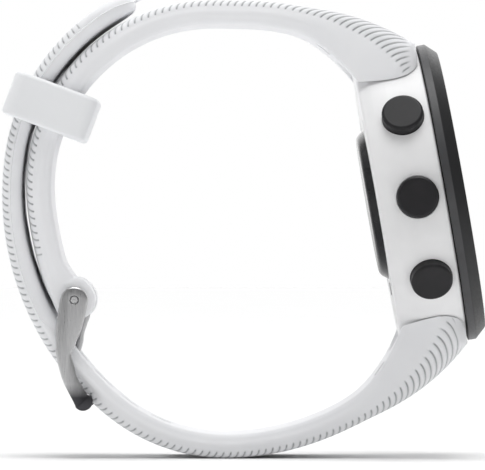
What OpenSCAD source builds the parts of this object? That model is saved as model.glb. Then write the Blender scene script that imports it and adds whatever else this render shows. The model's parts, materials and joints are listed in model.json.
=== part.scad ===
// GPS running watch, standing on its buckled band with the dial facing +X and a little up.
// The base frame has Z up, the band's middle plane at y = 0 and the floor at z = 0.
// The dial frame has its origin in the bezel's back plane: Z out of the dial,
// X towards 6 o'clock and Y towards 3 o'clock.

/* [Case] */
// Outer radius of the bezel
bezel_r = 19.75; // [19.6:0.05:20]
// Height of the bezel above the case
bezel_h = 2.5; // [2.3:0.1:2.8]
// Outer radius of the case wall
case_r = 19.3; // [19.2:0.05:19.5]
// Depth of the case behind the bezel
case_depth = 8.9; // [8.8:0.1:9.2]
// Backward lean of the dial from upright
lean = 10; // [9:0.5:11]
// Radius of the lens
lens_r = 16.9; // [16.5:0.1:17]
// How far the optical sensor's island stands off the back
island_h = 1.15; // [0.9:0.05:1.3]

/* [Buttons] */
// Radius of a button's cap
button_r = 2.72; // [2.5:0.02:2.8]
// Angle between neighbouring buttons on one side
button_step = 33.5; // [32:0.5:35]
// Radius at which the buttons' faces stand
button_face = 20.5; // [20.3:0.1:20.6]
// Travel of a button
button_travel = 0.5; // [0.3:0.05:0.5]
// Distance of the buttons' axes behind the bezel's back plane
button_drop = 3.75; // [3.7:0.05:3.8]

/* [Band] */
// Width of the band away from the case
band_w = 20; // [19:0.5:20]
// Width of the band where it meets the case
band_root_w = 22.4; // [22:0.2:23]
// Thickness of the strap that carries the buckle
short_t = 3.2; // [3:0.1:3.2]
// Thickness of the strap with the holes
long_t = 3.1; // [2.9:0.1:3.1]
// How much thinner the free end of that strap is
tail_thinning = 0.6; // [0.4:0.1:0.8]
// Distance between the holes in the strap
hole_pitch = 5; // [4.8:0.1:5.2]
// Width of a hole
hole_w = 2.4; // [2.3:0.1:2.6]
// Length of a hole along the strap
hole_l = 4.2; // [4:0.1:4.2]

/* [Buckle] */
// Thickness of the buckle's side plates
plate_t = 1; // [0.8:0.1:1.2]
// Side clearance between the strap and a side plate
plate_gap = 0.35; // [0.3:0.05:0.5]
// Width of the tongue
tongue_w = 1.8; // [1.6:0.1:1.9]
// Length of the keeper along the band
keeper_l = 6; // [5.5:0.5:6.5]
// Wall thickness of the keeper
keeper_wall = 1.45; // [1.3:0.05:1.5]

/* [Hidden] */
$fn = 48;

case_at = [26, 34.83];          // the dial frame's origin, as x and z of the base frame
white = [0.93, 0.94, 0.95];
black = [0.09, 0.09, 0.1];
steel = [0.68, 0.68, 0.69];
board_green = [0.1, 0.3, 0.2];
gold = [0.83, 0.69, 0.38];

// Directions of the buttons in the dial frame, as polar angles
LIGHT = -90 - button_step;
UP = -90;
DOWN = -90 + button_step;
START = 90 + button_step;
BACK = 90 - button_step;
BUTTONS = [LIGHT, UP, DOWN, START, BACK];

// Radii along a button's axis, from the case's middle
recess_floor = 18;              // bottom of the recess around a cap
cap_back = recess_floor + button_travel + 0.2;
boss_face = 16.4;               // inner face of the bosses behind the caps
stem_end = 15.65;
stem_r = 0.9;
seal_seat = 17.5;               // floor of the seat that holds a stem's seal

// Depths in the dial frame
case_front = -0.15;
ledge_back = -7.7;              // the rear cover closes against this ledge
ledge_front = -6.5;
cavity_r = 17.3;
rear_open_r = 16.1;
ledge_r = 12.9;
screw_ring = 14.5;
back_plane = -case_depth;
island_face = back_plane - island_h;

// Spring bars, as x and z in the dial frame for the 6 o'clock side
bar_x = 21.3;
bar_z = -6;
horn_in = 7.7;                  // the lugs' horns lie between these two distances from y = 0
horn_out = 9.6;
horn_r = 1.5;
barrel_r = 0.9;
tip_r = 0.4;
release_travel = 1.1;

// Each strap is a chain of tangent arcs in the x-z plane: [length, signed radius]
short_from = [19.7, 50.62, 137];
short_arcs = [[20, 28.7], [6, 106], [38.4, 22.8], [9, 48], [3.4, 12]];
long_from = [25.7, 18.57, 246.3];
long_arcs = [[15.5, -26.1], [17.9, -35.2], [17.7, -23.5], [36.4, -35.9], [26.6, -26.2]];
root_back = 4;                  // the swept strap starts this far inside the case
pin_at = [-22.4, 20.77];        // the buckle's pin
crossbar_at = [-21.37, 7.24];
plate_end_at = [-21.25, 7.57];
plate_end_r = 1.3;
crossbar_r = 0.55;
eye_r = 2.7;

// Points on the chain: walk the arcs, then go the rest of the way on the current one
function step(p, l, r) = let (h2 = p[2] + l / r * 180 / PI)
    [p[0] + r * (sin(h2) - sin(p[2])), p[1] - r * (cos(h2) - cos(p[2])), h2];
function along(p, arcs, s, i = 0) =
    i == len(arcs) - 1 || s <= arcs[i][0]
        ? step(p, s, arcs[i][1])
        : along(step(p, arcs[i][0], arcs[i][1]), arcs, s - arcs[i][0], i + 1);
function short_at(s) = s < 0
    ? [short_from[0] + s * cos(short_from[2]), short_from[1] + s * sin(short_from[2]),
       short_from[2]]
    : along(short_from, short_arcs, s);
function long_at(s) = s < 0
    ? [long_from[0] + s * cos(long_from[2]), long_from[1] + s * sin(long_from[2]),
       long_from[2]]
    : along(long_from, long_arcs, s);
function total(arcs, i = 0) = i == len(arcs) ? 0 : arcs[i][0] + total(arcs, i + 1);
short_len = total(short_arcs);
long_len = total(long_arcs);
// The centre of curvature about which the keeper slides
keeper_arc = step(step(short_from, 20, 28.7), 6, 106);
keeper_centre = [keeper_arc[0] - 22.8 * sin(keeper_arc[2]),
                 keeper_arc[1] + 22.8 * cos(keeper_arc[2])];

function ramp(a, b, s) = let (t = min(1, max(0, (s - a) / (b - a)))) t * t * (3 - 2 * t);
function bump(mid, half, s) = ramp(mid - half, mid, s) - ramp(mid, mid + half, s);
function flare(s, reach) = max(0, 1 - s / reach);
function short_half(s) = short_t / 2 + 2.9 * pow(flare(s, 13.7), 0.85);
// The strap with the holes: half thickness on its outer and inner side
buckle_s = 55.2;                // where the buckle's cross bar lies over the strap
hole_s = 59.4;                  // the hole that the tongue goes through
function long_out(s) = long_t / 2 + 3.3 * flare(s, 16.1) - 0.2 * bump(buckle_s, 3, s);
function long_in(s) = long_t / 2 + 3.3 * flare(s, 16.1) - tail_thinning * ramp(60, 84, s);
function half_w(s) = band_w / 2 + (band_root_w - band_w) / 2 * pow(flare(max(s, 0), 17), 1.4);

// Rounded section between -inner and +outer, and one ring of it at a place on the chain
function section(w, inner, outer) =
    let (r = min(1.1, (inner + outer) * 0.45))
    [for (c = [[1, 1, 0], [-1, 1, 90], [-1, -1, 180], [1, -1, 270]], a = [0:30:90])
        [c[0] * (w - r) + r * cos(a + c[2]),
         (c[1] > 0 ? outer - r : r - inner) + r * sin(a + c[2])]];
function ring(p, w, inner, outer) =
    [for (q = section(w, inner, outer))
        [p[0] - sin(p[2]) * q[1], q[0], p[1] + cos(p[2]) * q[1]]];

// Places of the rings: close ones up to dense_to, then n even steps to the end
function stations(dense_to, end, n) =
    [-root_back, -root_back / 2, each [0:1:dense_to],
     for (i = [1:n]) dense_to + (end - dense_to) * i / n];
tail_round = 6;

module skin(rings) {
    n = len(rings[0]);
    last = len(rings) - 1;
    points = [for (r = rings, p = r) p];
    faces = concat(
        [[for (j = [0:n - 1]) j]],
        [for (i = [0:last - 1], j = [0:n - 1]) let (k = (j + 1) % n)
            [i * n + j, (i + 1) * n + j, (i + 1) * n + k, i * n + k]],
        [[for (j = [n - 1:-1:0]) last * n + j]]);
    polyhedron(points, faces, convexity = 6);
}

// Outline with rounded corners: each point is [x, y, radius of its corner]
function unit(v) = v / norm(v);
function corner(a, b, c) =
    b[2] == 0 ? [[b[0], b[1]]] :
    let (at = [b[0], b[1]],
         u = unit([a[0], a[1]] - at), v = unit([c[0], c[1]] - at),
         half = acos(u * v) / 2,
         centre = at + unit(u + v) * b[2] / sin(half),
         from = at + u * b[2] / tan(half) - centre,
         to = at + v * b[2] / tan(half) - centre,
         turn = 180 - 2 * half,
         sense = from[0] * to[1] - from[1] * to[0] > 0 ? 1 : -1,
         steps = max(2, ceil(turn / 15)))
    [for (i = [0:steps]) let (w = sense * turn * i / steps)
        centre + [from[0] * cos(w) - from[1] * sin(w), from[0] * sin(w) + from[1] * cos(w)]];
function rounded(points) = let (n = len(points))
    [for (i = [0:n - 1])
        each corner(points[(i + n - 1) % n], points[i], points[(i + 1) % n])];

module lathe(points) {
    rotate_extrude($fn = 96) polygon(rounded(points));
}

module dial() {
    translate([case_at[0], 0, case_at[1]]) rotate([0, 90 - lean, 0]) children();
}

// Places children on a button's axis: Z outwards from the case's middle
module button_axis(angle) {
    rotate([0, 0, angle]) translate([0, 0, -button_drop]) rotate([0, 90, 0]) children();
}

// Places children on a chain: X along the strap's width, Y outwards or inwards, Z along it
module on_chain(p) {
    translate([p[0], 0, p[1]]) rotate([0, -p[2], 0]) children();
}

module tube(outer, inner, h) {
    difference() {
        cylinder(r = outer, h = h);
        translate([0, 0, -1]) cylinder(r = inner, h = h + 2);
    }
}

module y_cylinder(r, from, to) {
    translate([0, to, 0]) rotate([90, 0, 0]) cylinder(r = r, h = to - from);
}

// ---- case ----

// Both spring bars' places: side is +1 at 6 o'clock and -1 at 12 o'clock
module at_bar(side) {
    translate([side * bar_x, 0, bar_z]) children();
}

module horns(side, grow = 0) {
    for (y = [-1, 1]) {
        at_bar(side)
            y_cylinder(horn_r + grow, min(y * horn_in, y * horn_out) - grow,
                       max(y * horn_in, y * horn_out) + grow);
        translate([side > 0 ? 15.5 : -bar_x, min(y * horn_in, y * horn_out) - grow,
                   bar_z - horn_r - grow])
            cube([bar_x - 15.5, horn_out - horn_in + 2 * grow, 2 * (horn_r + grow)]);
    }
}

module case_body() {
    color(white) dial() difference() {
        union() {
            difference() {
                union() {
                    lathe([
                        [0, back_plane, 0], [case_r - 1.1, back_plane, 0.7],
                        [case_r - 0.35, back_plane + 1.6, 3],
                        [case_r, back_plane + 3.6, 6], [case_r, case_front, 0.3],
                        [0, case_front, 0]]);
                    horns(1);
                    horns(-1);
                }
                translate([0, 0, ledge_front]) cylinder(r = cavity_r, h = 10, $fn = 96);
                translate([0, 0, back_plane - 1]) cylinder(r = ledge_r, h = 10, $fn = 96);
                translate([0, 0, back_plane - 1])
                    cylinder(r = rear_open_r, h = ledge_back - back_plane + 1, $fn = 96);
            }
            for (a = BUTTONS) intersection() {
                button_axis(a) translate([0, 0, boss_face]) cylinder(r = 3, h = 1.6);
                translate([0, 0, -8]) cylinder(r = case_r - 0.5, h = 7.4);
            }
        }
        for (a = BUTTONS) button_axis(a) {
            translate([0, 0, recess_floor]) cylinder(r = button_r + 0.08, h = 5);
            translate([0, 0, seal_seat]) cylinder(r = 1.5, h = 1);
            translate([0, 0, boss_face - 1]) cylinder(r = stem_r + 0.08, h = 3);
        }
        for (side = [-1, 1]) at_bar(side) y_cylinder(tip_r + 0.05, -9.2, 9.2);
        for (a = [45:90:315]) rotate([0, 0, a]) translate([screw_ring, 0, ledge_back - 0.1])
            cylinder(r = 0.6, h = 1.1);
    }
}

module bezel() {
    color(black) dial() lathe([
        [lens_r - 1.3, 0, 0], [bezel_r, 0, 0.12], [bezel_r, bezel_h - 1.45, 0.2],
        [bezel_r - 1.35, bezel_h, 0.25], [lens_r + 0.1, bezel_h, 0.12], [lens_r + 0.1, 0.9, 0],
        [lens_r - 1.3, 0.9, 0]]);
}

module lens() {
    color([0.15, 0.17, 0.18]) dial() lathe([
        [0, 0.9, 0], [lens_r, 0.9, 0], [lens_r, 2.3, 0.2], [0, 2.3, 0]]);
}

module display_module() {
    color([0.3, 0.33, 0.3]) dial() translate([0, 0, -0.5]) cylinder(r = 14.6, h = 1.4);
}

module bezel_gasket() {
    color(black) dial() translate([0, 0, case_front]) tube(18.9, 17.6, -case_front);
}

module chassis() {
    color([0.25, 0.26, 0.28]) dial() difference() {
        translate([0, 0, -1.3]) cylinder(r = 16.3, h = 1.3);
        translate([0, 0, -0.6]) cylinder(r = 14.8, h = 2);
        translate([0, 0, -2]) cylinder(r = 3, h = 3);
    }
}

module main_board() {
    color(board_green) dial() translate([0, 0, -3.1]) cylinder(r = 13.3, h = 0.8);
}

module board_chips() {
    color(black) dial() translate([0, 0, -2.3]) {
        translate([-6, -5, 0]) cube([5.5, 5.5, 0.8]);
        translate([2, -6, 0]) cube([4, 5, 0.7]);
        translate([-5, 3, 0]) cube([3.2, 3.2, 0.75]);
        for (i = [0:4]) translate([1 + 1.8 * i, 4, 0]) cube([1, 1.6, 0.5]);
    }
}

module gps_antenna() {
    color(gold) dial() translate([0, 0, -1.9]) rotate([0, 0, 140])
        rotate_extrude(angle = 80) translate([15.6, 0]) square([0.6, 0.6]);
}

module battery() {
    color([0.75, 0.76, 0.78]) dial() translate([-12.5, -9.5, -6.4]) cube([21, 19, 2.9]);
}

module vibration_motor() {
    color([0.7, 0.7, 0.72]) dial() translate([12.4, 0, -6.3]) cylinder(r = 3.3, h = 2.4);
}

module button_switches() {
    color([0.8, 0.8, 0.78]) dial() for (a = BUTTONS) button_axis(a) {
        translate([-1.5, -1.75, 13.6]) cube([3, 3.5, 1.1]);
        translate([0, 0, 14.6]) cylinder(r = 0.7, h = 0.5);
    }
}

module button_seals() {
    color(black) dial() for (a = BUTTONS) button_axis(a) translate([0, 0, seal_seat])
        tube(1.5, stem_r + 0.03, 0.5);
}

// ---- back ----

module rear_cover() {
    color(white) dial() difference() {
        translate([0, 0, back_plane]) cylinder(r = rear_open_r - 0.1, h = 0.95, $fn = 96);
        translate([0, 0, back_plane - 1]) cylinder(r = 8.6, h = 3);
        translate([10.45, -3.65, back_plane - 1]) cube([1.7, 7.3, 3]);
        for (a = [45:90:315]) rotate([0, 0, a]) translate([screw_ring, 0, back_plane - 1]) {
            cylinder(r = 1.15, h = 1.5);
            cylinder(r = 0.65, h = 3);
        }
    }
}

module rear_seal() {
    color(black) dial() translate([0, 0, back_plane + 0.95])
        tube(13.6, 13, ledge_back - back_plane - 0.95);
}

module rear_screws() {
    color(steel) dial() for (a = [45:90:315]) rotate([0, 0, a])
        translate([screw_ring, 0, back_plane]) {
            difference() {
                translate([0, 0, 0.15]) cylinder(r = 1.1, h = 0.35);
                cylinder(r = 0.5, h = 0.35, $fn = 6);
            }
            translate([0, 0, 0.5]) cylinder(r = 0.6, h = 1.6);
        }
}

module contact_block() {
    color(black) dial() difference() {
        translate([10.5, -3.6, back_plane + 0.2]) cube([1.6, 7.2, 1.3]);
        for (i = [-1.5:1.5]) translate([11.3, 1.8 * i, back_plane - 1]) cylinder(r = 0.45, h = 4);
    }
}

module charging_contacts() {
    color(gold) dial() for (i = [-1.5:1.5]) translate([11.3, 1.8 * i, back_plane + 0.3])
        cylinder(r = 0.45, h = 1.7);
}

module sensor_housing() {
    color(black) dial() difference() {
        lathe([
            [0, island_face, 0], [9.1, island_face, 1.1], [10, back_plane, 0],
            [8.5, back_plane, 0], [8.5, ledge_back + 0.2, 0], [0, ledge_back + 0.2, 0]]);
        translate([0, 0, island_face - 1]) cylinder(r = 5.4, h = 1.6);
        translate([0, 0, island_face + 0.6]) cylinder(r = 4.8, h = 5);
        translate([0, 0, back_plane]) cylinder(r = 7.7, h = 3);
    }
}

module sensor_window() {
    color([0.12, 0.12, 0.14]) dial() translate([0, 0, island_face])
        cylinder(r = 5.4, h = 0.6);
}

module sensor_board() {
    color(board_green) dial() translate([0, 0, back_plane]) cylinder(r = 7.7, h = 0.6);
}

module sensor_leds() {
    color([0.5, 0.8, 0.5]) dial() translate([0, 0, back_plane - 0.45]) {
        translate([-1.2, -1.2, 0]) cube([2.4, 2.4, 0.45]);
        for (a = [90:120:330]) rotate([0, 0, a]) translate([2.6, -0.5, 0]) cube([1, 1, 0.45]);
    }
}

// ---- buttons ----

module button(angle) {
    color(black) dial() button_axis(angle) {
        lathe([
            [0, cap_back, 0], [button_r, cap_back, 0], [button_r, button_face, 0.4],
            [0, button_face, 0]]);
        translate([0, 0, stem_end]) cylinder(r = stem_r, h = cap_back - stem_end);
    }
}

module clip(angle) {
    color(steel) dial() button_axis(angle) translate([0, 0, boss_face - 0.4])
        tube(1.6, stem_r, 0.3);
}

// ---- band ----

// What the case takes away from a strap's end: its wall, the bezel and the lugs' horns
module case_room(side) {
    dial() {
        translate([0, 0, -20]) cylinder(r = case_r + 0.2, h = 19.6, $fn = 96);
        translate([0, 0, -0.5]) cylinder(r = bezel_r + 0.25, h = 12, $fn = 96);
        translate([-30, -15, -0.35]) cube([60, 30, 12]);
        horns(side, 0.25);
        at_bar(side) y_cylinder(barrel_r + 0.03, -8.4, 8.4);
        // Recess for the quick-release lever, open to the wrist side
        at_bar(side) translate([-0.8, -7.9, -8]) cube([1.6, 3.6, 8]);
    }
}

module buckle_strap() {
    color(white) difference() {
        union() {
            skin([for (s = stations(15, short_len, 32))
                ring(short_at(s), half_w(s), short_half(s), short_half(s) + 0.5 * flare(s, 13))]);
            translate([pin_at[0], 0, pin_at[1]]) y_cylinder(eye_r, -9.9, 9.9);
        }
        case_room(-1);
        translate([pin_at[0], 0, pin_at[1]]) {
            y_cylinder(0.85, -12, 12);
            translate([-2, -tongue_w / 2 - 0.35, -4]) cube([6, tongue_w + 0.7, 5.6]);
        }
    }
}

module strap_hole(s) {
    on_chain(long_at(s)) {
        for (x = [-1, 1]) translate([x * (hole_l - hole_w) / 2, 0, -3])
            cylinder(r = hole_w / 2, h = 6, $fn = 24);
        translate([-(hole_l - hole_w) / 2, -hole_w / 2, -3]) cube([hole_l - hole_w, hole_w, 6]);
    }
}

module hole_strap() {
    color(white) difference() {
        skin([
            for (s = stations(17, long_len - tail_round, 46))
                ring(long_at(s), half_w(s), long_in(s), long_out(s)),
            // Round end of the strap
            for (a = [15, 35, 52, 66, 77, 86])
                let (s = long_len + tail_round * (sin(a) - 1))
                ring(long_at(s), band_w / 2 * (0.4 + 0.6 * cos(a)),
                     long_in(s) - 0.5 * pow(sin(a), 4), long_out(s) - 0.6 * pow(sin(a), 4))]);
        case_room(1);
        for (i = [-3:8]) strap_hole(hole_s + i * hole_pitch);
    }
}

keeper_r = 23.75;               // from the arc's centre to the keeper's middle
keeper_angle = 153.8;
keeper_tilt = 5.9;
keeper_span = 11.5;
keeper_w = band_w + 0.6 + 2 * keeper_wall;

module rounded_box(size, r) {
    for (x = [0, 1]) {
        translate([-size[0] / 2 + x * r, -size[1] / 2 + (1 - x) * r, 0])
            cube([size[0] - 2 * x * r, size[1] - 2 * (1 - x) * r, size[2]]);
    }
    for (x = [-1, 1], y = [-1, 1])
        translate([x * (size[0] / 2 - r), y * (size[1] / 2 - r), 0]) cylinder(r = r, h = size[2]);
}

module keeper() {
    color(white)
        translate([keeper_centre[0] + keeper_r * cos(keeper_angle), 0,
                   keeper_centre[1] + keeper_r * sin(keeper_angle)])
        rotate([0, -keeper_angle - keeper_tilt, 0]) translate([0, 0, -keeper_l / 2])
        difference() {
            rounded_box([keeper_span, keeper_w, keeper_l], 1.6);
            translate([0, 0, -1])
                rounded_box([keeper_span - 2 * keeper_wall, keeper_w - 2 * keeper_wall,
                             keeper_l + 2], 0.8);
        }
}

// ---- buckle ----

// Outline along stations [x, z, half width], with both sides offset from the middle line
function side_of(st, i, sign) =
    let (a = st[max(i - 1, 0)], b = st[min(i + 1, len(st) - 1)],
         d = [b[0] - a[0], b[1] - a[1]] / norm([b[0] - a[0], b[1] - a[1]]))
    [st[i][0] - sign * d[1] * st[i][2], st[i][1] + sign * d[0] * st[i][2]];
module ribbon(st) {
    last = len(st) - 1;
    polygon(concat([for (i = [0:last]) side_of(st, i, 1)],
                   [for (i = [last:-1:0]) side_of(st, i, -1)]));
}

// Raises a drawing of the x-z plane into a slab from y0 to y1
module slab(y0, y1) {
    translate([0, y1, 0]) rotate([90, 0, 0]) linear_extrude(y1 - y0) children();
}

plate_eye_r = 1.8;
plate_stations = [
    [-22.4, 20.7, plate_eye_r], [-22.7, 19.2, 1.8], [-23.1, 17.2, 1.65], [-23.5, 15.4, 1.3],
    [-23.75, 13.7, 1.0], [-23.3, 11.6, 1.0], [-22.9, 10.3, 0.95], [-22.2, 9, 1.0],
    [-21.65, 8.05, 1.05],
    [plate_end_at[0], plate_end_at[1], plate_end_r]];
plate_in = band_w / 2 + plate_gap;
plate_out = plate_in + plate_t;

module buckle_frame() {
    color(steel) {
        difference() {
            for (y = [-1, 1]) slab(min(y * plate_in, y * plate_out), max(y * plate_in, y * plate_out)) {
                ribbon(plate_stations);
                translate(pin_at) circle(r = plate_eye_r);
                translate(plate_end_at) circle(r = plate_end_r);
            }
            translate([pin_at[0], 0, pin_at[1]]) y_cylinder(0.5, -15, 15);
        }
        translate([crossbar_at[0], 0, crossbar_at[1]]) y_cylinder(crossbar_r, -plate_in, plate_in);
    }
}

tongue_stations = [
    [-21.1, 20, 0.5], [-21, 18.8, 0.48], [-21.4, 17.5, 0.45], [-21.75, 16.3, 0.42],
    [-21.9, 15.1, 0.42], [-22.3, 13.9, 0.42], [-23.1, 12.8, 0.42], [-23.8, 11.7, 0.42],
    [-23.85, 10.5, 0.42], [-23.35, 9.35, 0.38], [-22.7, 8.4, 0.33], [-22.25, 7.65, 0.3]];

module buckle_tongue() {
    color(steel) difference() {
        slab(-tongue_w / 2, tongue_w / 2) {
            ribbon(tongue_stations);
            translate(pin_at) circle(r = 1.35);
        }
        translate([pin_at[0], 0, pin_at[1]]) y_cylinder(0.85, -5, 5);
    }
}

module buckle_pin() {
    color(steel) translate([pin_at[0], 0, pin_at[1]]) {
        y_cylinder(0.8, 0.3 - plate_in, plate_in - 0.3);
        y_cylinder(0.45, -plate_out, plate_out);
    }
}

// ---- spring bars ----

module bar_barrel(side) {
    color(steel) dial() at_bar(side) difference() {
        union() {
            y_cylinder(barrel_r, -7.3, 7.4);
            y_cylinder(tip_r, 7, 9.1);
        }
        y_cylinder(0.56, -8, -0.3);
        translate([-0.45, -7.2, -2]) cube([0.9, 3.1, 2]);
    }
}

module bar_tip(side) {
    color(steel) dial() at_bar(side) {
        y_cylinder(0.5, -7.1, -5.3);
        y_cylinder(tip_r, -9.1, -7);
    }
}

module release_lever(side) {
    color(steel) dial() at_bar(side) translate([0, -6.2, -3.2]) {
        cylinder(r = 0.4, h = 2.72);
        translate([0, 0, -0.3]) cylinder(r = 0.6, h = 0.6);
    }
}

spring_turns = 9;
module bar_spring(side) {
    color([0.6, 0.6, 0.62]) dial() at_bar(side)
        skin([for (i = [0:spring_turns * 10]) let (a = i * 36, y = -5.2 + 4.8 * i / spring_turns / 10)
            [for (b = [0:60:300]) let (r = 0.4 + 0.08 * cos(b))
                [r * cos(a), y + 0.08 * sin(b), r * sin(a)]]]);
}

module upper_bar_barrel() { bar_barrel(-1); }
module upper_bar_tip() { bar_tip(-1); }
module upper_bar_spring() { bar_spring(-1); }
module upper_release() { release_lever(-1); }
module lower_bar_barrel() { bar_barrel(1); }
module lower_bar_tip() { bar_tip(1); }
module lower_bar_spring() { bar_spring(1); }
module lower_release() { release_lever(1); }

case_body();
bezel();
lens();
display_module();
bezel_gasket();
chassis();
main_board();
board_chips();
gps_antenna();
battery();
vibration_motor();
button_switches();
button_seals();
rear_cover();
rear_seal();
rear_screws();
contact_block();
charging_contacts();
sensor_housing();
sensor_window();
sensor_board();
sensor_leds();
button(LIGHT);  // button_light
button(UP);  // button_up
button(DOWN);  // button_down
button(START);  // button_start
button(BACK);  // button_back
clip(LIGHT);  // clip_light
clip(UP);  // clip_up
clip(DOWN);  // clip_down
clip(START);  // clip_start
clip(BACK);  // clip_back
buckle_strap();
hole_strap();
keeper();
buckle_frame();
buckle_tongue();
buckle_pin();
upper_bar_barrel();
upper_bar_tip();
upper_bar_spring();
upper_release();
lower_bar_barrel();
lower_bar_tip();
lower_bar_spring();
lower_release();
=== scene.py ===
"""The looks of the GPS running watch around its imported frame: band, buckle, materials, studio."""
import json
import math

import bmesh
import bpy
import numpy as np
from mathutils import Matrix, Vector


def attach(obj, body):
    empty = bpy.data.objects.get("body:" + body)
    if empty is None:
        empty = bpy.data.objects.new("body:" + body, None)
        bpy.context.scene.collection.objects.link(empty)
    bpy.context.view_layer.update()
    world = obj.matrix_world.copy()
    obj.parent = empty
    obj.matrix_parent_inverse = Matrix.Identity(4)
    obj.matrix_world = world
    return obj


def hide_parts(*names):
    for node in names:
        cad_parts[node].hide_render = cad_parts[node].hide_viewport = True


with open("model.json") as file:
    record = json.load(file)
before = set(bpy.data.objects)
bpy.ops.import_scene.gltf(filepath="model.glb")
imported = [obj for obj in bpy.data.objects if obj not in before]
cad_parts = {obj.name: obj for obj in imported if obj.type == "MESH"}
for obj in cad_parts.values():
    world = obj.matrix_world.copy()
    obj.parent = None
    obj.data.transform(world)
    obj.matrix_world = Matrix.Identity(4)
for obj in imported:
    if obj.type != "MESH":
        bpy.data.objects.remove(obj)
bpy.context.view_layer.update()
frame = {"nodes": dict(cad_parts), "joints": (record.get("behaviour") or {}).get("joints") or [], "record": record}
nodes = frame["nodes"]

MM = 0.001

# ---- the dial's own frame, in mm: Z out of the dial, X to 6 o'clock, Y to 3 o'clock ----

LENS_HEIGHT = 2.3  # the lens's face above the bezel's back plane
lens = next(m for m in frame["record"]["mounts"] if m["name"] == "lens_face")
joints = {j["name"]: j for j in frame["joints"]}
dial_z = Vector(lens["axis"])
dial_y = Vector((0, 1, 0))
dial_x = dial_y.cross(dial_z)
dial_origin = Vector(lens["pos_m"]) / MM - LENS_HEIGHT * dial_z

DIAL = Matrix.Identity(4)
for row in range(3):
    DIAL[row][0], DIAL[row][1], DIAL[row][2] = dial_x[row], dial_y[row], dial_z[row]
    DIAL[row][3] = dial_origin[row]

CASE_R = 19.3
CASE_DEPTH = 8.9  # from the bezel's back plane to the case's back
BEZEL_R = 19.75
BAR_X, BAR_Z = 21.3, -6  # the lower strap's spring bar; the upper one is at -BAR_X
PIN_BORE_R = 0.85  # of the bores that the buckle's pin goes through


# ---- meshes ----

def new_object(name, points, faces, material=None, sharp_angle=38, values=None):
    """A smooth-shaded mesh object from points in mm, its faces turned outwards.
    values are its attributes at each point."""
    mesh = bpy.data.meshes.new(name)
    mesh.from_pydata((np.asarray(points, float) * MM).tolist(), [], faces)
    for key, numbers in (values or {}).items():
        layer = mesh.attributes.new(key, "FLOAT", "POINT")
        layer.data.foreach_set("value", np.asarray(numbers, np.float32))
    mesh.validate()
    work = bmesh.new()
    work.from_mesh(mesh)
    if work.calc_volume(signed=True) < 0:
        mesh.flip_normals()
    work.free()
    mesh.update()
    obj = bpy.data.objects.new(name, mesh)
    bpy.context.scene.collection.objects.link(obj)
    shade(obj, sharp_angle)
    if material:
        mesh.materials.append(material)
    return obj


def shade(obj, sharp_angle):
    obj.data.shade_smooth()
    obj.data.set_sharp_from_angle(angle=math.radians(sharp_angle))


def combine(obj, other, operation, sharp_angle=38):
    """Applies one boolean to obj and removes the other object."""
    modifier = obj.modifiers.new("combine", "BOOLEAN")
    modifier.operation = operation
    modifier.solver = "EXACT"
    modifier.object = other
    graph = bpy.context.evaluated_depsgraph_get()
    mesh = bpy.data.meshes.new_from_object(obj.evaluated_get(graph), depsgraph=graph)
    obj.modifiers.clear()
    obj.data = mesh
    bpy.data.objects.remove(other)
    shade(obj, sharp_angle)


def merged(parts):
    """The points and faces of several (points, faces) pairs as one pair."""
    points, faces = [], []
    for part_points, part_faces in parts:
        base = len(points)
        points += [tuple(p) for p in part_points]
        faces += [tuple(i + base for i in f) for f in part_faces]
    return points, faces


def moved(part, matrix):
    points, faces = part
    return [tuple(matrix @ Vector(p)) for p in points], faces


def loft(rings, closed=False):
    """Faces between rings of equally many points. The rings close, or their ends are capped."""
    points = [tuple(p) for r in rings for p in r]
    n, faces = len(rings[0]), []
    for i in range(len(rings) if closed else len(rings) - 1):
        here, there = i * n, (i + 1) % len(rings) * n
        faces += [(here + j, here + (j + 1) % n, there + (j + 1) % n, there + j)
                  for j in range(n)]
    if not closed:
        faces.append(tuple(reversed(range(n))))
        faces.append(tuple(range((len(rings) - 1) * n, len(rings) * n)))
    return points, faces


def rod(radius, start, end, steps=48, rounding=0.0):
    """A capped cylinder between two points, with rounded rims."""
    a, b = Vector(start), Vector(end)
    length = (b - a).length
    turn = (b - a).to_track_quat("Z", "Y").to_matrix().to_4x4()
    arc = [math.radians(t) for t in (0, 30, 60, 90)] if rounding else [math.pi / 2]
    low = [(radius - rounding + rounding * math.sin(t), rounding - rounding * math.cos(t))
           for t in arc]
    outline = low + [(r, length - z) for r, z in reversed(low)]
    rings = [[(r * math.cos(2 * math.pi * k / steps), r * math.sin(2 * math.pi * k / steps), z)
              for k in range(steps)] for r, z in outline]
    return moved(loft(rings), Matrix.Translation(a) @ turn)


def block(low, high):
    points = [(x, y, z) for z in (low[2], high[2]) for y in (low[1], high[1])
              for x in (low[0], high[0])]
    return points, [(0, 2, 3, 1), (4, 5, 7, 6), (0, 1, 5, 4), (2, 6, 7, 3), (0, 4, 6, 2),
                    (1, 3, 7, 5)]


def solid(part):
    """An object for combine to add or cut away."""
    return new_object("cutter", *part)


def ramp(a, b, x):
    """Eases from 0 at a to 1 at b."""
    t = np.clip((x - a) / (b - a), 0, 1)
    return t * t * (3 - 2 * t)


# ---- materials ----

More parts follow.
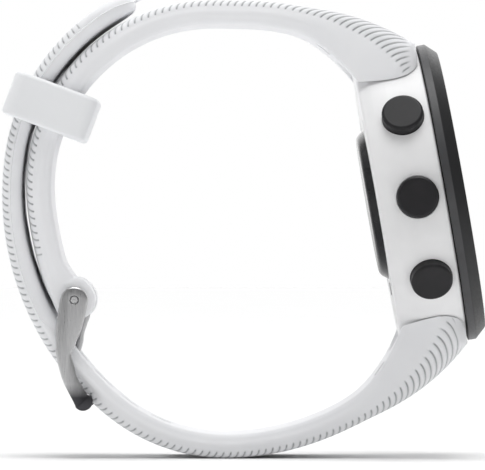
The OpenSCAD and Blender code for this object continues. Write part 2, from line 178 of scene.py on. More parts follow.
class Shader:
    """A material under construction. Lengths are in mm."""

    def __init__(self, name):
        self.material = bpy.data.materials.new(name)
        self.material.use_nodes = True
        self.tree = self.material.node_tree
        self.bsdf = self.tree.nodes["Principled BSDF"]
        self.place = self.node("ShaderNodeTexCoord").outputs["Object"]

    def node(self, kind, **settings):
        made = self.tree.nodes.new(kind)
        for key, value in settings.items():
            setattr(made, key, value)
        return made

    def link(self, source, target):
        self.tree.links.new(source, target)

    def set(self, **sockets):
        """Sets constants on the shader: names with _ for spaces."""
        for key, value in sockets.items():
            self.bsdf.inputs[key.replace("_", " ")].default_value = value
        return self

    def noise(self, size, detail=3, roughness=0.55, stretch=(1, 1, 1)):
        """Noise with features of about this size, stretched along the axes."""
        source = self.place
        if stretch != (1, 1, 1):
            mapping = self.node("ShaderNodeMapping")
            mapping.inputs["Scale"].default_value = [1 / k for k in stretch]
            self.link(source, mapping.inputs["Vector"])
            source = mapping.outputs["Vector"]
        made = self.node("ShaderNodeTexNoise")
        made.inputs["Scale"].default_value = 1 / (size * MM)
        made.inputs["Detail"].default_value = detail
        made.inputs["Roughness"].default_value = roughness
        self.link(source, made.inputs["Vector"])
        return made.outputs["Fac"]

    def attribute(self, name):
        return self.node("ShaderNodeAttribute", attribute_name=name).outputs["Fac"]

    def remap(self, value, low, high, to_low, to_high):
        made = self.node("ShaderNodeMapRange")
        for key, number in (("From Min", low), ("From Max", high), ("To Min", to_low),
                            ("To Max", to_high)):
            made.inputs[key].default_value = number
        self.link(value, made.inputs["Value"])
        return made.outputs["Result"]

    def vary(self, noise, low=0, high=1):
        """Spreads a noise, which lies mostly between 0.3 and 0.7, from low to high."""
        return self.remap(noise, 0.3, 0.7, low, high)

    def mix(self, amount, a, b):
        """Mixes two colours; a colour is a tuple or a socket."""
        made = self.node("ShaderNodeMix", data_type="RGBA")
        self.link(amount, made.inputs[0])
        for socket, value in ((made.inputs[6], a), (made.inputs[7], b)):
            if isinstance(value, tuple):
                socket.default_value = (*value, 1)
            else:
                self.link(value, socket)
        return made.outputs[2]

    def axis(self, which):
        split = self.node("ShaderNodeSeparateXYZ")
        self.link(self.place, split.inputs[0])
        return split.outputs[which]

    def colour(self, value):
        self.link(value, self.bsdf.inputs["Base Color"])
        return self

    def rough(self, value):
        self.link(value, self.bsdf.inputs["Roughness"])
        return self

    def bump(self, height, depth):
        made = self.node("ShaderNodeBump")
        made.inputs["Distance"].default_value = depth * MM
        self.link(height, made.inputs["Height"])
        self.link(made.outputs["Normal"], self.bsdf.inputs["Normal"])
        return self


def plastic(name, dark, light, roughness, grain=0.25, depth=0.01, spread=0.1, specular=0.5):
    """Moulded plastic: slow colour drift, and a fine spark-eroded texture in its skin."""
    s = Shader(name).set(Specular_IOR_Level=specular)
    s.colour(s.mix(s.vary(s.noise(4.0, 2)), dark, light))
    s.rough(s.vary(s.noise(grain * 2, 3), roughness - spread / 2, roughness + spread / 2))
    return s.bump(s.noise(grain, 4), depth).material


def metal(name, dark, light, roughness, stretch=(1, 1, 1), grain=0.12, depth=0.004):
    """Metal with a grain that is drawn out along an axis."""
    s = Shader(name).set(Metallic=1.0)
    lines = s.noise(grain, 4, 0.65, stretch)
    s.colour(s.mix(s.vary(lines), dark, light))
    s.rough(s.vary(lines, roughness - 0.06, roughness + 0.08))
    return s.bump(lines, depth).material


def silicone(name, colour, shade_colour, painted_groove_shade=None):
    """Matt moulded silicone, faintly mottled, with a satin skin and optional painted shade in its grooves."""
    s = Shader(name).set(Specular_IOR_Level=0.35, Sheen_Weight=0.05, Sheen_Roughness=0.5)
    tone = s.mix(s.remap(s.noise(7.0, 3), 0.3, 0.75, 0, 1), colour, shade_colour)
    if painted_groove_shade:
        # Painted shade: the colour darkens where the groove attribute is deep
        tone = s.mix(s.attribute("groove"), tone, painted_groove_shade)
    s.colour(tone)
    s.rough(s.vary(s.noise(0.6, 3), 0.5, 0.62))
    return s.bump(s.noise(0.09, 3), 0.006).material


# The last colour is the painted shade in the grooves
SILICONE = silicone("silicone_white", (0.88, 0.885, 0.90), (0.85, 0.855, 0.875),
                    (0.27, 0.28, 0.29))
KEEPER_SILICONE = silicone("silicone_keeper", (0.86, 0.87, 0.885), (0.84, 0.85, 0.865))
CASE_WHITE = plastic("case_polymer", (0.79, 0.79, 0.795), (0.83, 0.83, 0.835), 0.42, 0.2, 0.006)
COVER_WHITE = plastic("cover_polymer", (0.68, 0.68, 0.685), (0.73, 0.73, 0.73), 0.38, 0.15,
                      0.004)
BUTTON = plastic("button_polymer", (0.008, 0.008, 0.009), (0.014, 0.013, 0.015), 0.42, 0.12,
                 0.006, specular=0.3)
BLACK_RUBBER = plastic("black_rubber", (0.012, 0.012, 0.012), (0.02, 0.02, 0.02), 0.7)
DARK_POLYMER = plastic("dark_polymer", (0.03, 0.032, 0.035), (0.045, 0.045, 0.048), 0.5)
SENSOR_BLACK = plastic("sensor_black", (0.004, 0.004, 0.005), (0.007, 0.007, 0.008), 0.25,
                       0.3, 0.002, 0.06, 0.3)
BOARD = plastic("circuit_board", (0.01, 0.07, 0.035), (0.015, 0.1, 0.05), 0.35, 0.4, 0.02)
SWITCH = plastic("switch_polymer", (0.5, 0.5, 0.48), (0.6, 0.6, 0.58), 0.45)
LED = plastic("led_lens", (0.25, 0.55, 0.3), (0.35, 0.65, 0.38), 0.15, 0.3, 0.002, 0.05)
STEEL = metal("steel", (0.5, 0.5, 0.51), (0.66, 0.66, 0.66), 0.28)
GOLD = metal("gold_plate", (0.75, 0.52, 0.2), (0.85, 0.62, 0.28), 0.22)
FOIL = metal("battery_foil", (0.55, 0.56, 0.58), (0.7, 0.7, 0.71), 0.35, grain=0.8, depth=0.03)


def bezel_polymer():
    """Textured black polymer: painted light on a greyer rim, painted shade on a darker chamfer above it."""
    s = Shader("bezel_polymer").set(Specular_IOR_Level=0.35)
    height = s.node("ShaderNodeVectorMath", operation="DOT_PRODUCT")
    s.link(s.place, height.inputs[0])
    height.inputs[1].default_value = dial_z
    start = dial_origin.dot(dial_z)
    # Painted light and shade: the rim's colour is lighter as if lit, the chamfer's darker as if in shade
    chamfer_painted_shade = s.remap(height.outputs["Value"], (start + 0.95) * MM, (start + 1.1) * MM, 0, 1)
    rim_painted_light = s.mix(s.vary(s.noise(4.0, 2)), (0.050, 0.050, 0.053), (0.062, 0.062, 0.065))
    s.colour(s.mix(chamfer_painted_shade, rim_painted_light, (0.008, 0.008, 0.009)))
    s.rough(s.vary(s.noise(0.28, 3), 0.38, 0.5))
    return s.bump(s.noise(0.14, 4), 0.01).material


def buckle_steel():
    """Steel brushed along the band, with a painted dark reflection towards the lower end."""
    s = Shader("brushed_steel").set(Metallic=1.0)
    lines = s.noise(0.1, 4, 0.7, (1, 1, 14))
    tone = s.mix(s.vary(lines), (0.42, 0.42, 0.43), (0.56, 0.56, 0.56))
    # Painted dark reflection: the steel's colour darkens towards the lower end of the plates and the tongue
    low = s.remap(s.axis(2), 8.0 * MM, 9.8 * MM, 1, 0)
    s.colour(s.mix(low, tone, (0.06, 0.06, 0.065)))
    s.rough(s.vary(lines, 0.26, 0.4))
    return s.bump(lines, 0.004).material


def lens_glass():
    """Dark hard glass with a faint smear."""
    s = Shader("lens_glass").set(Coat_Weight=1.0, Coat_Roughness=0.03)
    smear = s.noise(5.0, 2)
    s.colour(s.mix(s.vary(smear), (0.018, 0.021, 0.019), (0.024, 0.027, 0.024)))
    s.rough(s.vary(smear, 0.06, 0.12))
    return s.bump(s.noise(1.5, 2), 0.001).material


def display():
    s = Shader("display")
    s.colour(s.mix(s.noise(0.2, 2), (0.07, 0.08, 0.07), (0.09, 0.1, 0.085)))
    return s.rough(s.vary(s.noise(0.4, 2), 0.3, 0.4)).material


BUCKLE = buckle_steel()

NODE_MATERIALS = {
    "case_body": CASE_WHITE, "bezel": bezel_polymer(), "lens": lens_glass(),
    "display_module": display(), "bezel_gasket": BLACK_RUBBER, "chassis": DARK_POLYMER,
    "main_board": BOARD, "board_chips": DARK_POLYMER, "gps_antenna": GOLD, "battery": FOIL,
    "vibration_motor": STEEL, "button_switches": SWITCH, "button_seals": BLACK_RUBBER,
    "rear_cover": COVER_WHITE, "rear_seal": BLACK_RUBBER, "rear_screws": STEEL,
    "contact_block": DARK_POLYMER, "charging_contacts": GOLD, "sensor_housing": SENSOR_BLACK,
    "sensor_window": SENSOR_BLACK, "sensor_board": BOARD, "sensor_leds": LED,
    "buckle_pin": STEEL,
}
for name in ("light", "up", "down", "start", "back"):
    NODE_MATERIALS["button_" + name] = BUTTON
    NODE_MATERIALS["clip_" + name] = STEEL
for side in ("upper", "lower"):
    for part in ("bar_barrel", "bar_tip", "bar_spring", "release"):
        NODE_MATERIALS[side + "_" + part] = STEEL
for name, material in NODE_MATERIALS.items():
    slots = nodes[name].data.materials
    slots.clear()
    slots.append(material)


# ---- straps ----

class Chain:
    """Tangent arcs in the x-z plane, as (length, signed radius), from x, z and a heading."""

    def __init__(self, start, arcs):
        x, z, heading = start[0], start[1], math.radians(start[2])
        self.ends, self.states = [0.0], [(x, z, heading, math.inf)]
        for length, radius in arcs:
            self.states.append((x, z, heading, radius))
            after = heading + length / radius
            x += radius * (math.sin(after) - math.sin(heading))
            z -= radius * (math.cos(after) - math.cos(heading))
            heading = after
            self.ends.append(self.ends[-1] + length)
        self.states.append((x, z, heading, math.inf))
        self.length = self.ends[-1]

    def at(self, s):
        """x, z and heading at the lengths s; straight before the start and past the end."""
        s = np.asarray(s, float)
        i = np.searchsorted(self.ends, s)
        x, z, h, r = np.array(self.states)[i].T
        rest = s - np.array([0.0] + self.ends)[i]
        bent = np.isfinite(r)
        r = np.where(bent, r, 1.0)
        h2 = h + rest / r
        x2 = np.where(bent, x + r * (np.sin(h2) - np.sin(h)), x + rest * np.cos(h))
        z2 = np.where(bent, z - r * (np.cos(h2) - np.cos(h)), z + rest * np.sin(h))
        return x2, z2, np.where(bent, h2, h)


SHORT = Chain((19.7, 50.62, 137), [(20, 28.7), (6, 106), (38.4, 22.8), (9, 48), (3.4, 12)])
LONG = Chain((25.7, 18.57, 246.3),
             [(15.5, -26.1), (17.9, -35.2), (17.7, -23.5), (36.4, -35.9), (26.6, -26.2)])
BAND_W = 20
ROOT_W = 22.4  # where a strap meets the case
EYE_R = 2.7  # of the short strap's rolled end, round the buckle's pin
TAIL_ROUND = 6  # length of the long strap's rounded tip
pin = np.array(joints["buckle_tilt"]["pos_m"]) / MM


def flare(s, reach):
    """1 at the case, down to 0 at the reach."""
    return np.maximum(0, 1 - np.maximum(s, -2) / reach)


def soft_flare(s, reach):
    """The same with a gentle start, and nothing left of it well away from the case."""
    x = 1 - np.maximum(s, -2) / reach
    return (x + np.sqrt(x ** 2 + 0.02)) / 2 * (1 - ramp(reach, 2 * reach, s))


def half_width(s):
    """Half the width of a strap, which widens towards the case."""
    return BAND_W / 2 + (ROOT_W - BAND_W) / 2 * flare(np.maximum(s, 0), 17) ** 1.4


def root_swell(s):
    """1 at the case, where a strap's outer edge is roundest, down to 0."""
    return flare(np.maximum(s, 0), 14)


def pin_offset():
    """Length at which the short strap passes the pin, and the pin's distance off its middle."""
    s = np.arange(SHORT.length - 4, SHORT.length + 4, 0.01)
    x, z, h = SHORT.at(s)
    i = np.argmin((x - pin[0]) ** 2 + (z - pin[2]) ** 2)
    return s[i], math.sin(h[i]) * (pin[0] - x[i]) - math.cos(h[i]) * (pin[2] - z[i])


PIN_S, PIN_OFF = pin_offset()


def smooth_max(a, b, blend):
    return (a + b + np.sqrt((a - b) ** 2 + blend ** 2)) / 2


def short_sizes(s):
    """Half width, outer and inner half thickness, swell at the root, and the outer and inner
    faces' crowns where the straps lie on each other. Its end is an eye."""
    half = 1.6 + 2.9 * soft_flare(s, 13.7) ** 0.9
    ds = np.minimum((s - PIN_S) / EYE_R, 0.9995)
    arch = np.where(ds > -1, EYE_R * np.sqrt(np.maximum(0, 1 - ds ** 2)), 4 * (ds + 1))
    blend = np.clip(-ds, 0, 1) * np.clip(2.6 + ds, 0, 1)
    sides = [np.where(ds > 0, off + arch, smooth_max(half, off + arch, size * blend))
             for off, size in ((PIN_OFF, 0.7), (-PIN_OFF, 2.2))]
    crown = 0.3 * ramp(24, 34, s) * (1 - ramp(PIN_S - 4, PIN_S - 2, s))
    return (half_width(s), sides[0], sides[1] + 0.5 * soft_flare(s, 11), root_swell(s), crown,
            np.zeros_like(s))


def long_sizes(s):
    """The same for the strap with the holes; its free end is thinner and rounded."""
    base = 1.55 + 3.3 * soft_flare(s, 15.9)
    dent = ramp(52.2, 55.2, s) - ramp(55.2, 58.2, s)
    x = np.clip((s - LONG.length + TAIL_ROUND) / TAIL_ROUND, 0, 0.9995)
    tip = np.sqrt(1 - np.clip((x - 0.86) / 0.14, 0, 0.99) ** 2)
    outer = (base - 0.2 * dent - 0.6 * x ** 4) * tip
    inner = (base - 0.6 * ramp(60, 84, s) + 0.2 * ramp(90, 104, s) - 0.5 * x ** 4) * tip
    width = np.where(x > 0, BAND_W / 2 * (0.4 + 0.6 * np.sqrt(1 - x ** 2)), half_width(s))
    crown = (0.16 + 0.15 * (1 - ramp(76, 86, s))) * ramp(62, 68, s) * tip
    return width, outer, inner, root_swell(s), np.zeros_like(s), crown


OUTER_FACE = [0, 0.3, 0.55, 0.75, 0.87, 0.93, 0.975]
CORNER_STEPS = 9
SIDE_STEPS = 14
INNER_STEPS = 5
INNER_FACE = [1, 0.85, 0.6, 0.3, 0]
SIDE_BULGE = 0.22


def half_section(width, outer, inner, swell, crown_out, crown_in):
    """Columns of points from the middle of the outer face round to the inner face's middle:
    u, v, their outward normals, and the length a along the skin from where the outer face
    meets its rounded edge, negative on the outer face."""
    thick = outer + inner
    r_out = np.minimum.reduce([1.0 + 1.8 * swell ** 2, 0.46 * thick, 0.8 * width])
    r_in = np.minimum.reduce([0.8 - 0.5 * swell + 5 * crown_in, 0.94 * thick - r_out,
                              0.5 * width])
    one, zero = np.ones_like(width), np.zeros_like(width)
    flat, columns = width - r_out, []
    for f in OUTER_FACE:
        columns.append((flat * f, outer + crown_out * (1 - f ** 2), zero, one, flat * (f - 1)))
    for k in range(CORNER_STEPS):
        t = math.pi / 2 * k / CORNER_STEPS
        sin, cos = math.sin(t) * one, math.cos(t) * one
        columns.append((flat + r_out * sin, outer - r_out + r_out * cos, sin, cos, r_out * t))
    side = thick - r_out - r_in
    for k in range(SIDE_STEPS):
        f = (k / SIDE_STEPS) ** 1.2
        bulge = SIDE_BULGE * math.sin(math.pi * f)
        columns.append((width + bulge, outer - r_out - side * f, one, zero,
                        r_out * math.pi / 2 + side * f))
    base = r_out * math.pi / 2 + side
    for k in range(INNER_STEPS):
        t = math.pi / 2 * k / INNER_STEPS
        sin, cos = math.sin(t) * one, math.cos(t) * one
        columns.append((width - r_in + r_in * cos, -inner + r_in - r_in * sin, cos, -sin,
                        base + r_in * t))
    for f in INNER_FACE:
        columns.append(((width - r_in) * f, -inner - crown_in * (1 - f ** 2), zero, -one,
                        base + 2 * r_in))
    return columns


GROOVE_DEPTH = 0.14
GROOVE_HALF_WIDTH = 0.11
S_STEP = 0.05
S_TABLE = np.arange(-40, 170, S_STEP)


class Grooves:
    """Short arcs over a strap's outer edges. pitch, reach down the side and sweep along the
    strap each go as (value away from the case, what the case adds, length, power)."""

    def __init__(self, run, last, pitch, reach, sweep, bend):
        self.run, self.last, self.bend = run, last, bend
        self.reach, self.sweep = reach, sweep
        self.pitches = self.near(S_TABLE, pitch)
        self.counts = np.cumsum(S_STEP / self.pitches)

    @staticmethod
    def near(s, change):
        away, extra, length, power = change
        return away + extra * np.clip(1 - s / length, 0, 1.03) ** power

    def rest(self, s, a):
        """Sweep, reach and what is left of the reach at the place (s, a)."""
        sweep = self.near(s, self.sweep) * (1 - ramp(self.last - 5, self.last, s))
        reach = self.near(s, self.reach)
        return sweep, reach, np.clip(1 - np.maximum(a, 0) / reach, 0, 1)

    def path(self, s, a):
        """The length along the strap at which the groove through (s, a) starts."""
        sweep, _, rest = self.rest(s, a)
        over = 0.5 * np.minimum(np.maximum(-a, 0), 2.5)
        return s - self.run * (sweep * rest ** self.bend + over)

    def depth(self, path, s, a):
        """Depth of the groove from 0 to 1."""
        sweep, reach, rest = self.rest(s, a)
        slope = np.where(a > 0, sweep * self.bend * rest ** (self.bend - 1) / reach, 0.5)
        off = np.abs(np.interp(path, S_TABLE, self.counts) % 1 - 0.5)
        off = off * np.interp(path, S_TABLE, self.pitches) / np.sqrt(1 + slope ** 2)
        deeper = 0.7 + 0.3 * ramp(0.4, 1, a / reach)
        return (np.exp(-(off / GROOVE_HALF_WIDTH) ** 2) * deeper * ramp(0, 0.15, reach - a)
                * ramp(-1.1, -0.3, a) * (1 - ramp(self.last - 1.2, self.last, s)))

    def ring_places(self, start, end_places):
        """Close rings at each groove up to the last one, then the given ones."""
        counts = np.interp([start, self.last], S_TABLE, self.counts)
        places = []
        for k in range(int(counts[0]), int(counts[1])):
            middle, after = np.interp([k + 0.5, k + 1.5], self.counts, S_TABLE)
            places += [middle + d for d in (-0.22, -0.13, -0.065, 0, 0.065, 0.13, 0.22)]
            shares = (0.35, 0.5, 0.65) if after - middle > 1.2 else (0.5,)
            places += [middle + (after - middle) * share for share in shares]
        return np.array([p for p in places if p < end_places[0] - 0.1] + list(end_places))


# At the dial side, a strap's root is rounded over this corner of the dial's y-z plane
ROOT_CORNER_Y, ROOT_CORNER_Z, ROOT_CORNER_R = 8.3, -3.35, 3.0


def dial_place(x, z):
    """Places of the x-z plane along the dial's X and Z."""
    x, z = x - dial_origin[0], z - dial_origin[2]
    return x * dial_x[0] + z * dial_x[2], x * dial_z[0] + z * dial_z[2]


def round_root(x, y, z):
    """Pulls points beyond the root's rounded corner back onto it."""
    along, out = dial_place(x, z)
    dy, dz = np.maximum(y - ROOT_CORNER_Y, 0), np.maximum(out - ROOT_CORNER_Z, 0)
    far = np.maximum(np.hypot(dy, dz), 1e-6)
    pull = np.where((dy > 0) & (dz > 0) & (far > ROOT_CORNER_R), 1 - ROOT_CORNER_R / far, 0)
    return x - pull * dz * dial_z[0], y - pull * dy, z - pull * dz * dial_z[2]


def off_line(run, place, v):
    """Places of the x-z plane at a distance v outwards from places on a chain."""
    x, z, h = place
    return x - run * np.sin(h) * v, z + run * np.cos(h) * v


def strap(name, chain, sizes, grooves, start, end_places):
    """A strap as a dense sweep whose mesh lines follow its grooves."""
    run = grooves.run
    rings_at = grooves.ring_places(start, end_places)
    fine = np.arange(rings_at[0] - 14, rings_at[-1] + 8, 0.1)
    half, depths = [], []
    for j, column in enumerate(half_section(*sizes(fine))):
        s = np.interp(rings_at, grooves.path(fine, column[4]), fine)
        u, v, nu, nv, a = half_section(*sizes(s))[j]
        place = chain.at(s)
        along, out = dial_place(*off_line(run, place, v))
        from_case = np.maximum(np.hypot(along, u) - CASE_R, -CASE_DEPTH - out)
        clear = ramp(0.3, 0.8, from_case) * (1 - ramp(-1.8, -1, out))
        depth = grooves.depth(rings_at, s, a) * clear
        u, v = u - nu * depth * GROOVE_DEPTH, v - nv * depth * GROOVE_DEPTH
        x, z = off_line(run, place, v)
        half.append(np.stack(round_root(x, u, z), -1))
        depths.append(depth)
    half, depths = np.array(half).swapaxes(0, 1), np.array(depths).T
    rings = np.concatenate([half, half[:, -2:0:-1] * [1, -1, 1]], axis=1)
    values = np.concatenate([depths, depths[:, -2:0:-1]], axis=1)
    points, faces = loft(list(rings))
    # The groove depths go into the groove attribute, from which the material paints shade in the grooves
    return new_object(name, points, faces, SILICONE, 62, {"groove": values.ravel()})


# Room round the case, on the dial's axes: about its wall and the bezel, for a lug's horns, for
# the spring bar, and for the release lever's travel
WALL_GAP, BEZEL_GAP = 0.2, 0.25
HORN_IN, HORN_OUT, HORN_R, HORN_ROOT = 7.45, 9.85, 1.75, 15.5
BAR_ROOM_R, BAR_ROOM_Y = 0.93, 8.4
LEVER_HALF_W, LEVER_FROM, LEVER_TO, LEVER_DEEP = 0.8, -7.9, -4.3, 8


def case_room(side):
    """What the case takes from a strap's end: its wall, the bezel, the horns, the bar."""
    room = solid(moved(rod(CASE_R + WALL_GAP, (0, 0, -20), (0, 0, -0.4), 240), DIAL))
    pieces = [rod(BEZEL_R + BEZEL_GAP, (0, 0, -0.5), (0, 0, 12), 240),
              block((-30, -15, -0.35), (30, 15, 11.6))]
    bar = side * BAR_X
    for y in (-1, 1):
        low, high = sorted((y * HORN_IN, y * HORN_OUT))
        pieces.append(rod(HORN_R, (bar, low, BAR_Z), (bar, high, BAR_Z), 48))
        near, far = sorted((side * HORN_ROOT, bar))
        pieces.append(block((near, low + 0.003, BAR_Z - HORN_R),
                            (far, high - 0.003, BAR_Z + HORN_R)))
    pieces.append(rod(BAR_ROOM_R, (bar, -BAR_ROOM_Y, BAR_Z), (bar, BAR_ROOM_Y, BAR_Z), 32))
    near, far = sorted((bar - LEVER_HALF_W, bar + LEVER_HALF_W))
    pieces.append(block((near, LEVER_FROM, BAR_Z - LEVER_DEEP), (far, LEVER_TO, BAR_Z)))
    for piece in pieces:
        combine(room, solid(moved(piece, DIAL)), "UNION")
    return room


def slot_part(s, length=4.2, width=2.4):
    """Cutter of one long hole through the strap, with chamfered mouths."""
    x, z, h = (float(value) for value in LONG.at(s))
    _, outer, inner, _, _, crown = (float(value) for value in long_sizes(np.array(float(s))))
    inner += crown
    rings = []
    for v, grow in ((-inner - 0.05, 0.15), (-inner + 0.1, 0), (outer - 0.23, 0),
                    (outer + 0.1, 0.33)):
        r, ring = width / 2 + grow, []
        for k in range(40):
            t = 2 * math.pi * (k + 0.5) / 40
            along = r * math.cos(t) + math.copysign((length - width) / 2, math.cos(t))
            ring.append((x + along * math.cos(h) - v * math.sin(h), r * math.sin(t),
                         z + along * math.sin(h) + v * math.cos(h)))
        rings.append(ring)
    return loft(rings)


HOLE_S = 59.4
HOLE_PITCH = 5


def make_straps():
    eye = [PIN_S + EYE_R * math.sin(math.radians(t)) for t in range(-78, 88, 6)]
    eye.append(PIN_S + EYE_R * math.sin(math.radians(87.5)))
    last = SHORT.length - 5.5
    before = list(np.arange(last + 0.1, eye[0] - 0.1, 0.3))
    grooves = Grooves(-1, last, (0.93, -0.13, 16, 1), (1.4, 4.0, 16, 1.65), (0.7, 3.2, 18, 1.1),
                      1.5)
    short = strap("buckle_strap_skin", SHORT, short_sizes, grooves, -5.5, before + eye)
    combine(short, case_room(-1), "DIFFERENCE")
    bore = rod(PIN_BORE_R, (pin[0], -12, pin[2]), (pin[0], 12, pin[2]))
    combine(short, solid(bore), "DIFFERENCE")
    slot = block((pin[0] - 2, -1.25, pin[2] - 4), (pin[0] + 4, 1.25, pin[2] + 1.6))
    combine(short, solid(slot), "DIFFERENCE", 62)
    last = LONG.length - TAIL_ROUND - 1
    tail = [LONG.length - TAIL_ROUND + TAIL_ROUND * math.sin(math.radians(t))
            for t in range(0, 88, 3)]
    between = list(np.arange(last + 0.1, tail[0] - 0.1, 0.3))
    grooves = Grooves(1, last, (0.9, 0.2, 17, 1.2), (1.45, 4.4, 17, 1.4), (0.75, 5.0, 17, 1.3),
                      1.8)
    hole = strap("hole_strap_skin", LONG, long_sizes, grooves, -10, between + tail)
    combine(hole, case_room(1), "DIFFERENCE")
    slots = merged([slot_part(HOLE_S + HOLE_PITCH * i) for i in range(-3, 9)])
    combine(hole, solid(slots), "DIFFERENCE", 62)
    return short, hole


short_strap, hole_strap = make_straps()
for piece, body, node in ((short_strap, "upper_strap", "buckle_strap"),
                          (hole_strap, "lower_strap", "hole_strap")):
    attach(piece, body)
    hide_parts(node)


# ---- keeper ----

def keeper_part(span=11.5, width=23.5, length=6.0, wall=1.45, corner=1.6):
    """A flat ring: its wall's rounded section is swept round a rounded rectangle."""
    section, steps = [], 6
    for o, z, r, turn in ((0, 1, 0.62, 0), (-wall, 1, 0.4, 90), (-wall, -1, 0.4, 180),
                          (0, -1, 0.62, 270)):
        for k in range(steps + 1):
            t = math.radians(turn + 90 * k / steps)
            middle = o - r if o == 0 else o + r
            section.append((middle + r * math.cos(t), z * (length / 2 - r) + r * math.sin(t)))
    rings = []
    for cx, cy, turn in ((1, 1, 0), (-1, 1, 90), (-1, -1, 180), (1, -1, 270)):
        for k in range(13):
            t = math.radians(turn + 90 * k / 12)
            rings.append([(cx * (span / 2 - corner) + (corner + o) * math.cos(t),
                           cy * (width / 2 - corner) + (corner + o) * math.sin(t), z)
                          for o, z in section])
    return loft(rings, closed=True)


# The keeper's place about the centre that it slides round, and its lean off that radius
KEEPER_ANGLE = math.radians(153.8)
KEEPER_TILT = math.radians(5.9)
KEEPER_R = 23.75
keeper_centre = Vector(joints["keeper_slide"]["pos_m"]) / MM
outwards = Vector((math.cos(KEEPER_ANGLE), 0, math.sin(KEEPER_ANGLE)))
keeper_place = (Matrix.Translation(keeper_centre + KEEPER_R * outwards)
                @ Matrix.Rotation(-KEEPER_ANGLE - KEEPER_TILT, 4, "Y"))
keeper = new_object("keeper_loop", *moved(keeper_part(), keeper_place), KEEPER_SILICONE, 50)
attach(keeper, "keeper")
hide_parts("keeper")


# ---- buckle ----

def smooth_curve(values, fine):
    """A smooth curve through values, read at fractional places."""
    out = []
    for f in fine:
        i = min(int(f), len(values) - 2)
        w = f - i
        a, b = values[max(i - 1, 0)], values[i]
        c, d = values[i + 1], values[min(i + 2, len(values) - 1)]
        out.append(0.5 * (2 * b + (c - a) * w + (2 * a - 5 * b + 4 * c - d) * w ** 2
                          + (3 * b - a - 3 * c + d) * w ** 3))
    return np.array(out)


def outline(stations, steps=5):
    """A closed outline around a line of (x, z, half width), with round ends, in the x-z plane."""
    st = np.array(stations, float)
    fine = np.linspace(0, len(st) - 1, (len(st) - 1) * steps + 1)
    middle, width = smooth_curve(st[:, :2], fine), smooth_curve(st[:, 2:], fine)
    d = np.gradient(middle, axis=0)
    d /= np.linalg.norm(d, axis=1)[:, None]
    normal = np.stack([-d[:, 1], d[:, 0]], -1)

    def end(i, sign):
        base = math.atan2(normal[i, 1] * sign, normal[i, 0] * sign)
        return [middle[i] + width[i] * np.array([math.cos(base - a), math.sin(base - a)])
                for a in np.radians(np.arange(10, 180, 10))]
    left, right = middle + normal * width, middle - normal * width
    return np.array(list(left) + end(-1, 1) + list(right[::-1]) + end(0, -1))


def slab(loop, profile):
    """A slab in Y over an outline: profile gives (inset, y) from one face to the other."""
    before, after = np.roll(loop, 1, axis=0), np.roll(loop, -1, axis=0)
    d = after - before
    d /= np.linalg.norm(d, axis=1)[:, None]
    inward = np.stack([d[:, 1], -d[:, 0]], -1)
    return loft([[(x, y, z) for x, z in loop + inward * inset] for inset, y in profile])


# x, z and half width along the middle lines of a side plate and of the tongue
PLATE = [(-22.4, 20.7, 1.8), (-22.7, 19.2, 1.8), (-23.1, 17.2, 1.65), (-23.5, 15.4, 1.3),
         (-23.75, 13.7, 1.0), (-23.3, 11.6, 1.0), (-22.9, 10.3, 0.95), (-22.2, 9, 1.0),
         (-21.65, 8.05, 1.05), (-21.25, 7.57, 1.3)]
TONGUE = [(-21.1, 20, 0.5), (-21, 18.8, 0.48), (-21.4, 17.5, 0.45), (-21.75, 16.3, 0.42),
          (-21.9, 15.1, 0.42), (-22.3, 13.9, 0.42), (-23.1, 12.8, 0.42), (-23.8, 11.7, 0.42),
          (-23.85, 10.5, 0.42), (-23.35, 9.35, 0.38), (-22.7, 8.4, 0.33), (-22.25, 7.65, 0.3)]
PLATE_IN = 10.35
PLATE_OUT = 11.35
CROSSBAR = (-21.37, 7.24)
CROSSBAR_R = 0.55
TONGUE_HALF_W = 0.9
TONGUE_RING_R = 1.35  # round the pin


def make_buckle():
    loop, plates = outline(PLATE), []
    for y in (-1, 1):
        plate = new_object("plate", *slab(loop, [
            (0.12, y * PLATE_IN), (0, y * (PLATE_IN + 0.12)), (0, y * (PLATE_OUT - 0.3)),
            (0.06, y * (PLATE_OUT - 0.14)), (0.18, y * (PLATE_OUT - 0.04)),
            (0.34, y * PLATE_OUT)]))
        bore = [(0.5, PLATE_IN - 1), (0.5, PLATE_OUT - 0.12), (0.9, PLATE_OUT + 0.28)]
        rings = [[(pin[0] + r * math.cos(2 * math.pi * k / 48), y * h,
                   pin[2] + r * math.sin(2 * math.pi * k / 48)) for k in range(48)]
                 for r, h in bore]
        combine(plate, solid(loft(rings)), "DIFFERENCE")
        plates.append(plate)
    combine(plates[0], plates[1], "UNION")
    x, z = CROSSBAR
    bar = rod(CROSSBAR_R, (x, -PLATE_IN - 0.3, z), (x, PLATE_IN + 0.3, z), 40)
    combine(plates[0], solid(bar), "UNION", 25)
    plates[0].name = "buckle_frame_steel"
    return plates[0]


def make_tongue():
    half = TONGUE_HALF_W
    tongue = new_object("buckle_tongue_steel", *slab(outline(TONGUE), [
        (0.2, -half), (0.05, -0.84), (0, -0.7), (0, 0.7), (0.05, 0.84), (0.2, half)]))
    ring = rod(TONGUE_RING_R, (pin[0], -half, pin[2]), (pin[0], half, pin[2]), 48, 0.15)
    combine(tongue, solid(ring), "UNION")
    bore = rod(PIN_BORE_R, (pin[0], -5, pin[2]), (pin[0], 5, pin[2]))
    combine(tongue, solid(bore), "DIFFERENCE", 30)
    return tongue


for piece, body, node in ((make_buckle(), "buckle", "buckle_frame"),
                          (make_tongue(), "tongue", "buckle_tongue")):
    piece.data.materials.clear()
    piece.data.materials.append(BUCKLE)
    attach(piece, body)
    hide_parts(node)


# ---- studio ----

# The surroundings glow beyond this y of a direction, on the far side. The dim part and the glow
# each go from one y to another, and from one brightness to another
GLOW_FROM = 0.7
DIM = (-0.93, 0.7, 0.24, 0.44)
GLOW = (0.0, 1.0, 1.16, 2.0)


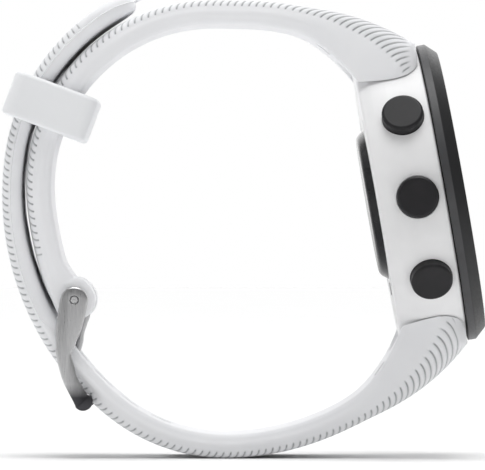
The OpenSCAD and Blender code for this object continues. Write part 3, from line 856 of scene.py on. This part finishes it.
def surroundings(tree):
    """The brightness of each direction by its y: dim, with a bright glow on the far side.
    The camera sees white."""
    split = tree.nodes.new("ShaderNodeSeparateXYZ")
    tree.links.new(tree.nodes.new("ShaderNodeTexCoord").outputs["Generated"], split.inputs[0])
    y = split.outputs[1]

    def eased(numbers):
        made = tree.nodes.new("ShaderNodeMapRange")
        made.interpolation_type = "SMOOTHSTEP"
        for key, number in zip(("From Min", "From Max", "To Min", "To Max"), numbers):
            made.inputs[key].default_value = number
        tree.links.new(y, made.inputs["Value"])
        return made.outputs["Result"]

    glows = tree.nodes.new("ShaderNodeMath")
    glows.operation = "GREATER_THAN"
    glows.inputs[1].default_value = GLOW_FROM
    tree.links.new(y, glows.inputs[0])
    level = tree.nodes.new("ShaderNodeMix")
    for source, target in ((glows.outputs[0], 0), (eased(DIM), 2), (eased(GLOW), 3)):
        tree.links.new(source, level.inputs[target])
    seen = tree.nodes.new("ShaderNodeMix")
    is_camera = tree.nodes.new("ShaderNodeLightPath").outputs["Is Camera Ray"]
    tree.links.new(is_camera, seen.inputs[0])
    tree.links.new(level.outputs[0], seen.inputs[2])
    seen.inputs[3].default_value = 1.0
    return seen.outputs[0]


def studio():
    scene = bpy.context.scene
    scene.view_settings.view_transform = "Standard"
    scene.world = bpy.data.worlds.new("studio")
    scene.world.use_nodes = True
    tree = scene.world.node_tree
    background = tree.nodes["Background"]
    background.inputs["Color"].default_value = (1, 1, 1, 1)
    tree.links.new(surroundings(tree), background.inputs["Strength"])

    shader = Shader("studio_floor").set(Specular_IOR_Level=0.0)
    shader.colour(shader.mix(shader.noise(40.0, 2), (0.87, 0.87, 0.87), (0.89, 0.89, 0.89)))
    shader.rough(shader.vary(shader.noise(20.0, 2), 0.7, 0.8))
    reach = 3000
    corners = [(-reach, -reach, 0), (reach, -reach, 0), (reach, reach, 0), (-reach, reach, 0)]
    floor = new_object("floor", corners, [(0, 1, 2, 3)], shader.material)

    aim = Vector((0, 0, 0.03))
    for name, energy, size, place in (("key", 1.2, 0.5, (0.15, -0.35, 0.75)),
                                      ("fill", 0.6, 0.6, (-0.75, -0.3, 0.35))):
        light = bpy.data.lights.new(name, "AREA")
        light.energy, light.size = energy, size
        lamp = bpy.data.objects.new(name, light)
        lamp.location = place
        lamp.rotation_euler = (aim - Vector(place)).to_track_quat("-Z", "Y").to_euler()
        scene.collection.objects.link(lamp)

    light = bpy.data.lights.new("overhead", "SUN")
    light.energy, light.angle = 2.0, math.radians(44)
    scene.collection.objects.link(bpy.data.objects.new("overhead", light))

    camera = bpy.data.cameras.new("camera")
    camera.lens, camera.sensor_width = 527.5, 36
    camera.clip_start, camera.clip_end = 0.01, 20
    holder = bpy.data.objects.new("camera", camera)
    holder.location = (-0.0004, -0.940, 0.02927)
    holder.rotation_euler = (math.pi / 2, 0, 0)
    scene.collection.objects.link(holder)
    scene.camera = holder


studio()
